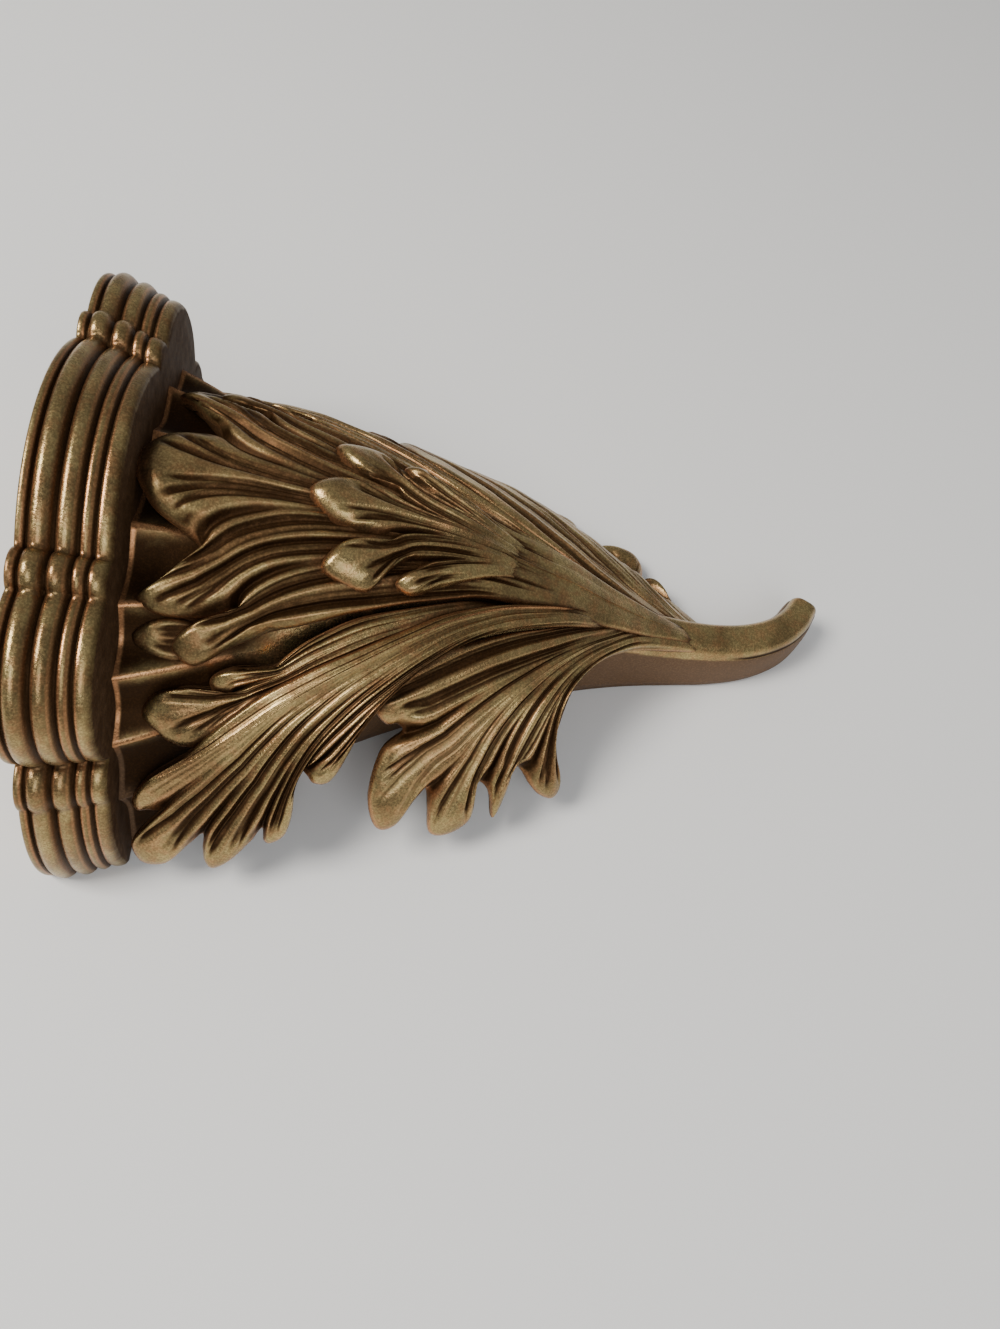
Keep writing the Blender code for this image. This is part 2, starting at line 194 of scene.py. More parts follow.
UPPER_LEFT_FAN = {
    "near": ((0, 166), (-6, 151), (-13.5, 134), (-20.5, 116.5), (-29, 100.5), (-38, 89)),
    "far": ((3, 166), (-2.5, 150), (-8.5, 133), (-14, 117), (-20.5, 101.5), (-30, 85.5),
            (-41.5, 65), (-51, 48.5)),
    "notches": ((-43.5, 83.5), (-58.3, 64.5), (-70.8, 56.3), (-73, 41), (-70, 30.5), (-58.5, 38)),
    "lobes": (
        ((-48.5, 79.5), (-54.5, 76.8), (-60, 73), (-61, 69), (-59.5, 66.7)),
        ((-60.3, 62.2), (-66, 64), (-71, 62.5), (-73, 59), (-72.7, 57)),
        ((-73.3, 53.5), (-77, 48.5), (-78.7, 44), (-77.5, 42), (-75.3, 41.3)),
        ((-74.7, 37.7), (-78.3, 32), (-78.5, 26), (-75.5, 23.3), (-73, 26)),
        ((-69.3, 28), (-69.5, 25), (-68, 23.7), (-65, 26.5), (-62, 33.5)),
    ),
    "root_lift": -6.0,
    "lift": 3.0,
    "rib": (0.86, 2.0, 0.13),
    "bunch": 1.5,
    "thickness": (5.5, 3.2),
    "bare": 16,
    "crown": 1.9,
}
LOWER_RIGHT_FAN = {
    "near": ((7, 193), (11.5, 187.5), (16, 183)),
    "far": ((5, 186), (6, 168), (7.5, 151), (11, 136), (18, 120), (28, 105), (37, 93)),
    "notches": ((20, 179), (31, 165), (45, 149), (53, 121), (56, 98), (43, 86)),
    "lobes": (
        ((24, 176.5), (27.5, 174.5), (31, 172.5), (32.5, 169.5), (32, 166.8)),
        ((34, 167.5), (38.5, 168.5), (44, 165), (46.5, 158.5), (46.3, 152)),
        ((50, 147.5), (55.5, 145.5), (59, 138), (59.5, 129.5), (56, 123.5)),
        ((57, 118.5), (63, 116), (66, 107), (64.5, 101), (59.5, 99)),
        ((58.5, 95), (62, 91), (62, 85), (57, 82), (49, 83)),
    ),
    "root_lift": -6.0,
    "lift": 0.0,
    "near_lift": 12.0,
    "rib": (0.62, 1.0, 0.10),
    "bunch": 0.5,
    "thickness": (5.5, 3.2),
    "bare": 12,
    "crown": 2.1,
}
LEFT_SIDE_FAN = {
    "near": ((-13, 122), (-21, 102), (-30.5, 86), (-39, 71), (-45.5, 58.5)),
    "far": ((-9, 120), (-14, 106), (-21, 91), (-27, 77), (-33, 66.5), (-38, 60)),
    "notches": ((-50.5, 49), (-47.3, 47), (-41.8, 56)),
    "lobes": (
        ((-55.5, 43.5), (-57.3, 35), (-53.5, 26), (-48.5, 29), (-46.7, 38)),
        ((-47.7, 45), (-46.8, 42.5), (-44.8, 41.8), (-43, 44.5), (-42, 50)),
    ),
    "root_lift": -4.0,
    "lift": 1.2,
    "rib": (0.5, 0.0, 0.10),
    "bunch": 0.2,
    "thickness": (4.0, 3.0),
    "bare": 10,
    "crown": 2.6,
}
CROWN_FAN = {
    "near": ((1.5, 186), (-2, 170), (-6.5, 153), (-9.8, 137), (-12, 122), (-14.5, 107), (-20, 92),
             (-26, 77), (-30.5, 66), (-33, 59)),
    "far": ((6, 186), (6.5, 168), (7.5, 150), (9.8, 135), (11.5, 120), (14.5, 107), (20, 92),
            (26, 77), (30.5, 66), (33, 59)),
    "notches": ((-34, 53.5), (-30.8, 48), (-18.3, 37), (18.3, 37), (30.8, 48), (34, 53.5)),
    "lobes": (
        ((-38, 46.5), (-43, 38), (-40.5, 32.3), (-36, 35.5), (-33, 42)),
        ((-33, 41), (-34.5, 30), (-32.5, 23.3), (-28.3, 28), (-22.5, 33.5)),
        ((-15.5, 33), (-10.5, 24.5), (0, 19.5), (10.5, 24.5), (15.5, 33)),
        ((22.5, 33.5), (28.3, 28), (32.5, 23.3), (34.5, 30), (33, 41)),
        ((33, 42), (36, 35.5), (40.5, 32.3), (43, 38), (38, 46.5)),
    ),
    "root_lift": -3.0,
    "lift": 2.0,
    "rib": (0.5, 0.6, 0.02),
    "bunch": 0.4,
    "thickness": (6.0, 3.0),
    "bare": 60,
    # The crown fan is painted darker as painted shade.
    "glaze_and_painted_shade": 0.36,
    "crown": 2.2,
}
FRONT_FAN = {
    "near": ((-2, 138), (-4, 124), (-8, 112), (-12, 104)),
    "far": ((4, 138), (6, 124), (10, 112), (14, 104)),
    "notches": ((-15, 98.5), (-11.3, 87.3), (-7.5, 83), (9, 83), (12.8, 87.3), (16.5, 98.5)),
    "lobes": (
        ((-17.3, 93.5), (-20, 88.5), (-18.5, 84.6), (-15.2, 86.3), (-13, 89)),
        ((-15.5, 82.8), (-22, 77), (-19.5, 66.3), (-12, 69.7), (-8.7, 76)),
        ((-7.5, 74.5), (-5.5, 66.5), (0.7, 61), (7, 66.5), (9, 74.5)),
        ((10.2, 76), (13.5, 69.7), (21, 66.3), (23.5, 77), (17, 82.8)),
        ((14.5, 89), (16.7, 86.3), (20, 84.6), (21.5, 88.5), (18.8, 93.5)),
    ),
    "root_lift": -4.0,
    "lift": 4.0,
    "rib": (0.5, 0.6, 0.02),
    "bunch": 0.3,
    "thickness": (4.0, 3.0),
    "bare": 15,
    "crown": 3.2,
}

# Single leaflets: root, bend, tip, half width, lift at the root and the tip
LEAFLETS = (
    ((-34, 46), (-40, 36), (-38.5, 23), 4.6, -6, 1),
    ((34, 46), (40, 36), (38.5, 23), 4.6, -6, 1),
)


def mirrored(fan, lift):
    """The same fan on the other side, its lobes taken in the same order."""
    def flip(points):
        return tuple((-x, drop) for x, drop in points)
    other = dict(fan, lift=lift, lobes=tuple(flip(lobe) for lobe in fan["lobes"]))
    for name in ("near", "far", "notches"):
        other[name] = flip(fan[name])
    return other


UPPER_RIGHT_FAN = mirrored(UPPER_LEFT_FAN, -1.0)
RIGHT_SIDE_FAN = mirrored(LEFT_SIDE_FAN, 0.0)


class CarvingSizes(bpy.types.PropertyGroup):
    lobe_columns: IntProperty(
        name="Columns per lobe", description="Columns of faces across each lobe of a fan",
        default=48, min=12, max=60)
    fan_rows: IntProperty(
        name="Rows per fan", description="Rows of faces from a fan's root to its edge",
        default=80, min=20, max=160)
    flute_depth: FloatProperty(
        name="Flute depth", description="Depth of the fine grooves along the veins",
        default=0.001, min=0.0, max=0.003, subtype="DISTANCE", unit="LENGTH")
    valley_depth: FloatProperty(
        name="Valley depth", description="Depth of the groove that runs down from each notch",
        default=0.0017, min=0.0, max=0.005, subtype="DISTANCE", unit="LENGTH")


class GildingColours(bpy.types.PropertyGroup):
    # The bronze and the umber also stand in sheltered places, and the umber and the primer under
    # leaves, at the foot of each band and under the shelf, as painted shade; the copper also
    # paints highlights on lips, ridges and edges.
    gold: FloatVectorProperty(
        name="Gold", description="Olive gold paint on the open, raised surfaces",
        default=(0.42, 0.315, 0.135), size=3, min=0.0, max=1.0, subtype="COLOR")
    bronze: FloatVectorProperty(
        name="Bronze", description="Brown bronze paint on the flanks of the carving",
        default=(0.135, 0.080, 0.038), size=3, min=0.0, max=1.0, subtype="COLOR")
    copper: FloatVectorProperty(
        name="Copper", description="Pinkish copper where the gold has rubbed thin",
        default=(0.46, 0.215, 0.095), size=3, min=0.0, max=1.0, subtype="COLOR")
    primer: FloatVectorProperty(
        name="Primer", description="Matt brown on flanks and undersides that have no gilding",
        default=(0.150, 0.086, 0.045), size=3, min=0.0, max=1.0, subtype="COLOR")
    umber: FloatVectorProperty(
        name="Umber", description="Dark glaze left in the hollows",
        default=(0.036, 0.016, 0.005), size=3, min=0.0, max=1.0, subtype="COLOR")


def smooth_curve(at, knots, values):
    """A smooth curve through the knots, with slopes from their neighbours."""
    knots = np.asarray(knots, float)
    values = np.asarray(values, float)
    at = np.clip(np.asarray(at, float), knots[0], knots[-1])
    slopes = np.gradient(values, knots)
    low = np.clip(np.searchsorted(knots, at, side="right") - 1, 0, len(knots) - 2)
    span = knots[low + 1] - knots[low]
    u = (at - knots[low]) / span
    return (
        values[low] * (1 + 2 * u) * (1 - u) ** 2
        + slopes[low] * span * u * (1 - u) ** 2
        + values[low + 1] * u * u * (3 - 2 * u)
        + slopes[low + 1] * span * u * u * (u - 1)
    )


def face_depth(x, drop):
    """Distance from the wall of the bell's face."""
    across = np.abs(x) / smooth_curve(drop, FACE_DROPS, FACE_HALF_WIDTHS)
    middle = smooth_curve(drop, FACE_DROPS, FACE_DEPTHS)
    return middle * (1 - np.clip(across, 0.0, 0.985) ** 2)


def to_world(x, away, drop):
    """Millimetres across, away from the wall and down become a metre point."""
    return np.stack([x * MM, -away * MM, (TOP_HEIGHT - drop) * MM], axis=-1)


def grid(columns, rows):
    """A flat grid as a bmesh with layers for the paint, and its (s, t) places."""
    mesh = bmesh.new()
    for name in PAINT_LAYERS:
        mesh.verts.layers.float.new(name)
    bmesh.ops.create_grid(mesh, x_segments=columns, y_segments=rows, size=1.0)
    t, s = np.meshgrid(np.linspace(0, 1, rows + 1), np.linspace(0, 1, columns + 1), indexing="ij")
    return mesh, s, t


def move_to(verts, points):
    for vert, point in zip(verts, points.reshape(-1, 3)):
        vert.co = point


def mark(mesh, verts, name, values):
    """Writes one paint layer: the cut layer marks hollows and places of painted shade, the rub
    layer exposed edges and painted highlights, and the bare layer ungilded places.
    """
    layer = mesh.verts.layers.float[name]
    for vert, value in zip(verts, np.clip(values, 0, 1).ravel()):
        vert[layer] = value


def unit(vectors):
    return vectors / (np.linalg.norm(vectors, axis=-1, keepdims=True) + 1e-12)


def face_normal(x, drop):
    """The direction in which the bell's face looks at a place on it."""
    half_width = smooth_curve(drop, FACE_DROPS, FACE_HALF_WIDTHS)
    across = np.clip(x / half_width, -0.985, 0.985)
    slope = -2 * across * smooth_curve(drop, FACE_DROPS, FACE_DEPTHS) / half_width
    fall = face_depth(x, drop + 0.5) - face_depth(x, drop - 0.5)
    return unit(np.stack([-slope, -np.ones_like(slope), fall], axis=-1))


def add_piece(mesh, name):
    """Closes the bmesh into a named object that rides with the casting."""
    data = bpy.data.meshes.new(name)
    mesh.to_mesh(data)
    mesh.free()
    data.shade_smooth()
    piece = bpy.data.objects.new(name, data)
    bpy.context.scene.collection.objects.link(piece)
    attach(piece, "root")
    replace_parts(piece, "corbel")
    return piece


def turned_out(mesh):
    """Turns the faces of a closed bmesh so that they point outwards."""
    if mesh.calc_volume(signed=True) < 0:
        bmesh.ops.reverse_faces(mesh, faces=mesh.faces)
    return mesh


def spline(points, per_span):
    """A closed-form curve through the points, with per_span steps between each two."""
    points = np.array(points, float)
    before = np.vstack([2 * points[0] - points[1], points[:-1]])
    after = np.vstack([points[1:], 2 * points[-1] - points[-2]])
    slope = (after - before) / 2
    u = np.linspace(0, 1, per_span, endpoint=False)[None, :, None]
    a, b = points[:-1, None], points[1:, None]
    m, n = slope[:-1, None], slope[1:, None]
    curve = (a * (1 + 2 * u) * (1 - u) ** 2 + m * u * (1 - u) ** 2
             + b * u * u * (3 - 2 * u) + n * u * u * (u - 1))
    return np.vstack([curve.reshape(-1, 2), points[-1:]])


def ripple(number, seed=0.0):
    """A fixed value from 0 to 1 for a number, used to vary one groove from the next."""
    return (np.sin(number * 12.9898 + seed * 78.233 + 4.1) * 43758.5453) % 1.0


def groove(distance, width):
    return np.exp(-(distance / width) ** 2)


def close_leaf(face, normal, t, gaps, thickness, cut, rub_and_highlight):
    """A closed leaf from its face: the underside follows it, and the rims are round."""
    rows, columns = face.shape[0] - 1, face.shape[1] - 1
    mesh, _, _ = grid(columns, rows)
    root_thickness, tip_thickness = thickness
    thickness = (root_thickness + (tip_thickness - root_thickness) * t) * MM
    radius = tip_thickness * 0.55
    rim = np.ones_like(thickness)
    for gap in gaps:
        near = 1 - np.clip(gap / radius, 0, 1)
        rim = rim * np.sqrt(1 - near * near)
    top = face - normal * (thickness * 0.4 * (1 - rim))[..., None]
    under = top - normal * (thickness * rim)[..., None]
    for points in (top, under):
        points[..., 1] = np.minimum(points[..., 1], -0.0001)
    copy = bmesh.ops.duplicate(mesh, geom=mesh.verts[:] + mesh.edges[:] + mesh.faces[:])
    under_verts = [v for v in copy["geom"] if isinstance(v, bmesh.types.BMVert)]
    under_faces = [f for f in copy["geom"] if isinstance(f, bmesh.types.BMFace)]
    top_verts = mesh.verts[:thickness.size]
    move_to(top_verts, top)
    move_to(under_verts, under)
    mark(mesh, top_verts, "cut", cut)
    mark(mesh, top_verts, "rub_and_highlight", rub_and_highlight)
    # The underside is painted umber on bare primer, as painted shade under the leaf.
    mark(mesh, under_verts, "cut", np.full_like(cut, UNDERSIDE_SHADE))
    mark(mesh, under_verts, "bare", np.ones_like(cut))
    bmesh.ops.reverse_faces(mesh, faces=under_faces)
    on_rim = np.ones(thickness.shape, bool)
    on_rim[1:-1, 1:-1] = False
    pairs = {under_verts[k]: top_verts[k] for k in np.flatnonzero(on_rim)}
    bmesh.ops.weld_verts(mesh, targetmap=pairs)
    return turned_out(mesh)


def read_rows(table, rows):
    """Rows of a table at places that lie between its own rows."""
    low = np.minimum(rows.astype(int), len(table) - 2)
    part = (rows - low)[:, None]
    return table[low] * (1 - part) + table[low + 1] * part


def run_along(curve):
    """Distance from a curve's start to each of its points."""
    return np.cumsum(np.linalg.norm(np.diff(curve, axis=0, prepend=curve[:1]), axis=1))


def pace_borders(borders, t):
    """Steps along two borders: level with each other until the longer one runs ahead."""
    runs = [run_along(curve) for curve in borders]
    shared = min(run[-1] for run in runs)
    paced = []
    for curve, run in zip(borders, runs):
        at = shared * t + (run[-1] - shared) * t ** 4
        paced.append(np.stack([np.interp(at, run, curve[:, k]) for k in (0, 1)], 1))
    return paced


def spread_veins(fan, columns, rows):
    """Spreads a fan's veins evenly between its borders, as (x, drop) tables.

    The veins start as straight lines.  Relaxing the tables bends them until they
    flow from the root to the free edge and no two of them cross.
    """
    outline = [fan["notches"][0]]
    for lobe, notch in zip(fan["lobes"], fan["notches"][1:]):
        outline += list(lobe) + [notch]
    edge = spline(outline, columns // (len(outline) - 1))
    borders = [spline(fan[name] + (end,), 40) for name, end in (
        ("near", outline[0]), ("far", outline[-1]))]
    near, far = pace_borders(borders, np.linspace(0, 1, rows + 1))
    along = np.linspace(0, 1, columns + 1)[:, None]
    root = near[0] * (1 - along) + far[0] * along
    up = np.linspace(0, 1, rows + 1)[:, None, None]
    place = root * (1 - up) + edge * up
    place[:, 0], place[:, -1] = near, far
    for step, rounds in ((4, 500), (2, 200), (1, 80)):
        net = place[::step, ::step]
        if step < 4:
            net[1::2, 2:-1:2] = (net[:-1:2, 2:-1:2] + net[2::2, 2:-1:2]) / 2
            net[1:-1, 1::2] = (net[1:-1, :-1:2] + net[1:-1, 2::2]) / 2
        for turn in range(rounds):
            relax(net)
    stem = near[:, None] * (1 - along) + far[:, None] * along
    share = np.clip(up / 0.95, 0, 1) ** 3
    place = stem * (1 - share) + place * share
    return place[..., 0], place[..., 1]


def relax(place):
    """Moves every inner place so that the lines of the net flow without a fold."""
    up = (place[2:, 1:-1] - place[:-2, 1:-1]) / 2
    side = (place[1:-1, 2:] - place[1:-1, :-2]) / 2
    a = np.sum(up * up, axis=-1, keepdims=True)
    b = np.sum(up * side, axis=-1, keepdims=True)
    c = np.sum(side * side, axis=-1, keepdims=True)
    cross = (place[2:, 2:] - place[2:, :-2] - place[:-2, 2:] + place[:-2, :-2]) / 2
    total = a * (place[1:-1, 2:] + place[1:-1, :-2]) + c * (place[2:, 1:-1] + place[:-2, 1:-1])
    place[1:-1, 1:-1] = (total - b * cross) / (2 * (a + c) + 1e-9)


def bunch_veins(fan, s, t, table):
    """Holds the veins together along the rib, so that they bend away from it near the edge."""
    rib_place = fan["rib"][0]
    power = 1 + fan["bunch"] * (1 - t ** 4)
    near = rib_place * (1 - (1 - s / rib_place).clip(0, 1) ** power)
    far = (1 - rib_place) * ((s - rib_place) / (1 - rib_place)).clip(0, 1) ** power
    return np.array([np.interp(at, s[0], row) for at, row in zip(near + far, table)])


def measure_fan(fan, sizes):
    """The net of a fan and, at each point of it, the distances that its relief follows."""
    count = len(fan["lobes"])
    columns = sizes.lobe_columns // 12 * 12 * count
    rows = sizes.fan_rows // 4 * 4
    s, t = np.meshgrid(np.linspace(0, 1, columns + 1), np.linspace(0, 1, rows + 1))
    t = 1 - (1 - t) ** 2
    tables = spread_veins(fan, columns, rows)
    x, drop = (bunch_veins(fan, s, t, read_rows(table, t[:, 0] * rows)) for table in tables)
    flat = to_world(x, face_depth(x, drop), drop) / MM
    step = np.linalg.norm(np.diff(flat, axis=0, prepend=flat[:1]), axis=-1)
    from_root = np.cumsum(step, axis=0)
    to_edge = from_root[-1] - from_root
    span = np.linalg.norm(np.gradient(flat, axis=1), axis=-1) * columns
    rib_place, _, rib_width = fan["rib"]
    on_rib = np.exp(-((s - rib_place) / rib_width) ** 2)
    close_by = np.clip(1 - (to_edge - VALLEY_START) / VALLEY_REACH, 0, 1)
    return SimpleNamespace(
        s=s, t=t, x=x, drop=drop, from_root=from_root, to_edge=to_edge, span=span,
        width=span / count, on_rib=on_rib, close_by=close_by)


def lift_fan(fan, at, seed):
    """How far a fan's face stands out from the bell, with its rib and the swell of its lobes."""
    count = len(fan["lobes"])
    number = np.minimum((at.s * count).astype(int), count - 1)
    across = 2 * (at.s * count - number) - 1
    grown = np.clip(at.from_root / RISE_LENGTH, 0, 1)
    rib = fan["rib"][1] * at.on_rib * grown * np.clip(at.to_edge / 25, 0, 1)
    pillow = np.clip((at.width - 2) / 11, 0, 1) * (0.25 + 0.75 * at.close_by)
    pillow = pillow * (np.cos(pi / 2 * across).clip(0, 1) - 0.6)
    rise = np.sin(pi / 2 * grown)
    roll = TIP_ROLL * np.clip(1 - at.to_edge / ROLL_REACH, 0, 1) ** 2
    uneven = 0.1 * (np.sin(0.45 * at.x + 0.19 * at.drop)
                    + np.sin(0.35 * at.drop - 0.21 * at.x + seed))
    lift = fan["root_lift"] + (fan["lift"] - fan["root_lift"]) * rise
    lift = lift + fan.get("near_lift", 0.0) * rise * (1 - at.s) ** 2
    return lift + rib + fan["crown"] * pillow - roll + uneven


def groove_fan(fan, at, sizes, seed):
    """Depth of a fan's valleys, eyes and flutes, and the lips that stand up beside them."""
    count = len(fan["lobes"])
    depth = np.zeros_like(at.s)
    lip = np.zeros_like(at.s)
    fade = np.clip((at.from_root - fan["bare"]) / 14, 0, 1) * np.clip((at.width - 2) / 6, 0, 1)
    fade = fade * (0.2 + 0.8 * at.close_by)
    fade = fade * (1 - 0.85 * at.on_rib * np.clip(at.to_edge / 12, 0, 1))
    for i in range(1, count):
        gap = np.abs(at.s - i / count) * at.span
        wide = 0.25 + 0.045 * at.width
        depth = np.maximum(depth, groove(gap, wide) * fade * sizes.valley_depth / MM)
        eye = groove(gap, EYE_WIDTH * at.width) * groove(at.to_edge - EYE_REACH / 2, EYE_REACH)
        depth = np.maximum(depth, eye * EYE_DEPTH)
        lip = np.maximum(lip, groove(gap - 2.3 * wide, wide) * fade)
    closing = 1 - 0.45 * np.clip((at.t - 0.7) / 0.27, 0, 1)
    broad = np.clip(at.width / 8, 1, 1.9)
    for i in range(count * len(FLUTES)):
        middle = FLUTES[i % len(FLUTES)] + FLUTE_WANDER * (ripple(i, seed) - 0.5)
        place = (i // len(FLUTES) + 0.5 + middle * closing / 2) / count
        start = fan["bare"] + 30 * ripple(i, seed + 1)
        end = 1.0 + 6 * ripple(i, seed + 2) ** 2
        body = np.clip((at.from_root - start) / 12, 0, 1) * np.clip((at.to_edge - end) / 5, 0, 1)
        strength = (0.55 + 0.75 * ripple(i, seed + 3)) * broad ** 0.6
        gap = np.abs(at.s - place) * at.span
        wide = (0.3 + 0.25 * ripple(i, seed + 5)) * broad
        shortest = 0.45 * (ripple(i, seed + 7) > 0.6)
        body = body * strength * np.clip((at.width - 2.5) / 4, shortest, 1)
        body = body * (1 - 0.8 * at.on_rib)
        depth = np.maximum(depth, groove(gap, wide) * body * sizes.flute_depth / MM)
        lip = np.maximum(lip, 0.5 * groove(gap - 2.4 * wide, wide) * body)
    return depth, lip


def carve_fan(fan, sizes, seed):
    """A fan of lobes with valleys, flutes and rolled tips, as a closed bmesh."""
    at = measure_fan(fan, sizes)
    base = to_world(at.x, face_depth(at.x, at.drop) + lift_fan(fan, at, seed), at.drop)
    depth, lip = groove_fan(fan, at, sizes, seed)
    normal = face_normal(at.x, at.drop)
    face = base - normal * ((depth - LIP_HEIGHT * lip) * MM)[..., None]
    to_side = np.minimum(at.s, 1 - at.s) * at.span
    gaps = at.to_edge, at.from_root, to_side
    # Copper on the lips beside valleys and flutes is painted highlight; on the free edges and
    # sides it is wear and painted highlight; along the rib it is a pink tone.
    rub_and_highlight = 0.6 * lip + np.clip(1 - at.to_edge / RUB_AND_HIGHLIGHT_WIDTH, 0, 1) + 0.7 * np.clip(1 - to_side, 0, 1)
    rub_and_highlight = rub_and_highlight + 0.35 * at.on_rib * np.clip(at.from_root / 40 - 0.5, 0, 1)
    # Painted shade on the crown fan's outer part.
    glaze_and_painted_shade = fan.get("glaze_and_painted_shade", 0.0) * np.clip((at.from_root - CROWN_SHADE_START) / CROWN_SHADE_START, 0, 1)
    return close_leaf(face, normal, at.t, gaps, fan["thickness"], depth / 1.1 + glaze_and_painted_shade, rub_and_highlight)


def carve_leaflet(leaflet, number):
    """One cupped leaflet with a few flutes along it, as a closed bmesh."""
    root, middle, tip, half_width, root_lift, tip_lift = leaflet
    columns, rows = 24, 40
    s, t = np.meshgrid(np.linspace(0, 1, columns + 1), np.linspace(0, 1, rows + 1))
    t = 1 - (1 - t) ** 1.5
    root, middle, tip = (np.array(p, float) for p in (root, middle, tip))
    u = t[..., None]
    centre = (1 - u) ** 2 * root + 2 * u * (1 - u) * middle + u * u * tip
    along = unit((1 - u) * (middle - root) + u * (tip - middle))
    across = np.sin(pi / 2 * (2 * s - 1))
    width = half_width * (0.35 + 0.65 * np.sin(pi / 2 * np.clip(t / 0.62, 0, 1)) ** 1.5)
    width = width * np.sqrt(1 - 0.98 * np.clip((t - 0.55) / 0.45, 0, 1) ** 2.2)
    sideways = np.stack([-along[..., 1], along[..., 0]], -1)
    place = centre + sideways * (across * width)[..., None]
    x, drop = place[..., 0], place[..., 1]
    lift = root_lift + (tip_lift - root_lift) * np.sin(pi / 2 * t ** 0.7)
    lift = lift + 0.3 * half_width * (0.6 - across ** 2) - TIP_ROLL * t ** 6
    base = to_world(x, face_depth(x, drop) + lift, drop)
    normal = face_normal(x, drop)
    depth = np.zeros_like(s)
    for i in range(4):
        at = -0.6 + 0.4 * i + 0.15 * (ripple(i, number) - 0.5)
        gap = (across - at * (1 - 0.5 * t)) * width
        end = 0.75 + 0.15 * ripple(i, number + 1)
        body = np.clip((t - 0.2) / 0.2, 0, 1) * np.clip((end - t) / 0.15, 0, 1)
        depth = np.maximum(depth, 0.8 * groove(gap, 0.5) * body)
    face = base - normal * (depth * MM)[..., None]
    length = np.linalg.norm(np.gradient(base, t[:, 0], axis=0), axis=-1) / MM
    gaps = (1 - t) * length, t * length, (1 - np.abs(across)) * width
    return close_leaf(face, normal, t, gaps, (8.0, 3.0), 0.35 + depth, np.zeros_like(s))


def joined(meshes):
    """One bmesh from several."""
    whole = bmesh.new()
    for mesh in meshes:
        data = bpy.data.meshes.new("part")
        mesh.to_mesh(data)
        mesh.free()
        whole.from_mesh(data)
        bpy.data.meshes.remove(data)
    return whole


def arc(start, end, bulge, steps):
    """Points on a round arc from start towards end, swelling to the outside."""
    start = np.array(start)
    end = np.array(end)
    chord = end - start
    half = np.linalg.norm(chord) / 2
    along = chord / (2 * half)
    outward = np.array([along[1], -along[0]])
    radius = (half ** 2 + bulge ** 2) / (2 * bulge)
    sweep = np.arcsin(half / radius)
    centre = (start + end) / 2 - outward * (radius - bulge)
    angles = np.linspace(-sweep, sweep, steps, endpoint=False)
    return [centre + radius * (outward * cos(a) + along * sin(a)) for a in angles]


def shelf_outline():
    """The lobes and beads round the shelf's plan, from one wall end to the other."""
    right = [(WALL_HALF_WIDTH, 0.0), SIDE_CORNER, DIAGONAL_BACK_CORNER]
    right += [DIAGONAL_FRONT_CORNER, FRONT_CORNER]
    left = [(-x, away) for x, away in reversed(right)]
    corners = [np.array(c) for c in right + left]
    bulges = [SIDE_LOBE_BULGE, BEAD_BULGE, DIAGONAL_LOBE_BULGE, BEAD_BULGE]
    bulges = bulges + [FRONT_LOBE_BULGE] + bulges[::-1]
    points = []
    for start, end, bulge in zip(corners, corners[1:], bulges):
        steps = max(12, int(np.linalg.norm(end - start) / 1.2))
        points += arc(start, end, bulge, steps)
    points.append(corners[-1])
    return np.array(points)


def moulding_profile(steps):
    """(drop, inset) down the edge of the shelf, one swelling for each band."""
    profile = [(0.0, TOP_EDGE_INSET + 0.6), (0.25, TOP_EDGE_INSET + 0.15)]
    top = 0.0
    for height, swell in BANDS:
        for step in range(1, steps + 1):
            part = step / steps
            drop = top + height * part
            inset = TOP_EDGE_INSET + MOULDING_INSET * drop / SHELF_THICKNESS
            inset -= swell * sin(pi * part) ** 0.6 - 0.35 * (part == 1)
            profile.append((drop, inset))
        top += height
    return np.array(profile)


def carve_shelf():
    outline = shelf_outline()
    profile = moulding_profile(9)
    mesh, s, t = grid(len(outline) - 1, len(profile) - 1)
    scale = 1 - profile[:, 1] / WALL_HALF_WIDTH
    x = outline[None, :, 0] * scale[:, None]
    away = outline[None, :, 1] * scale[:, None]
    move_to(mesh.verts, to_world(x, away, np.repeat(profile[:, :1], len(outline), axis=1)))
    joints = np.cumsum([height for height, swell in BANDS[:-1]])
    nearest = np.abs(profile[:, :1] - joints).min(axis=1)[:, None]
    below = np.append(joints, SHELF_THICKNESS) - profile[:, :1]
    below = np.where(below < -0.01, SHELF_THICKNESS, below).min(axis=1)[:, None]
    # An even glaze on the moulding, with painted shade at the foot of each band and on the
    # soffit's rim.
    glaze_and_painted_shade = BAND_GLAZE + BAND_FOOT_SHADE * groove(below, 1.6)
    cut = np.maximum(1.1 * groove(nearest, JOINT_WIDTH), glaze_and_painted_shade)
    mark(mesh, mesh.verts, "cut", cut * np.ones_like(s))
    # Copper lines beside each joint, partly painted highlights.
    mark(mesh, mesh.verts, "rub_and_highlight", groove(nearest - 0.9, JOINT_WIDTH) * np.ones_like(s))
    # The soffit is painted as bare primer, partly as painted shade under the shelf.
    mark(mesh, mesh.verts[-len(outline):], "bare", SOFFIT_PRIMER_AND_SHADE * np.ones(len(outline)))
    mesh.verts.ensure_lookup_table()
    last = len(outline) - 1
    bottom = len(profile) - 1
    width = len(outline)
    rims = [[mesh.verts[r * width + c] for c in range(width)] for r in (0, bottom)]
    back = [mesh.verts[r * width] for r in range(bottom + 1)]
    back += [mesh.verts[r * width + last] for r in range(bottom, -1, -1)]
    caps = [mesh.faces.new(loop) for loop in rims + [back]]
    bmesh.ops.recalc_face_normals(mesh, faces=mesh.faces)
    bmesh.ops.inset_region(mesh, faces=caps[:1], thickness=0.0012, depth=-0.0002)
    bmesh.ops.triangulate(mesh, faces=[f for f in mesh.faces if len(f.verts) > 4])
    return turned_out(mesh)


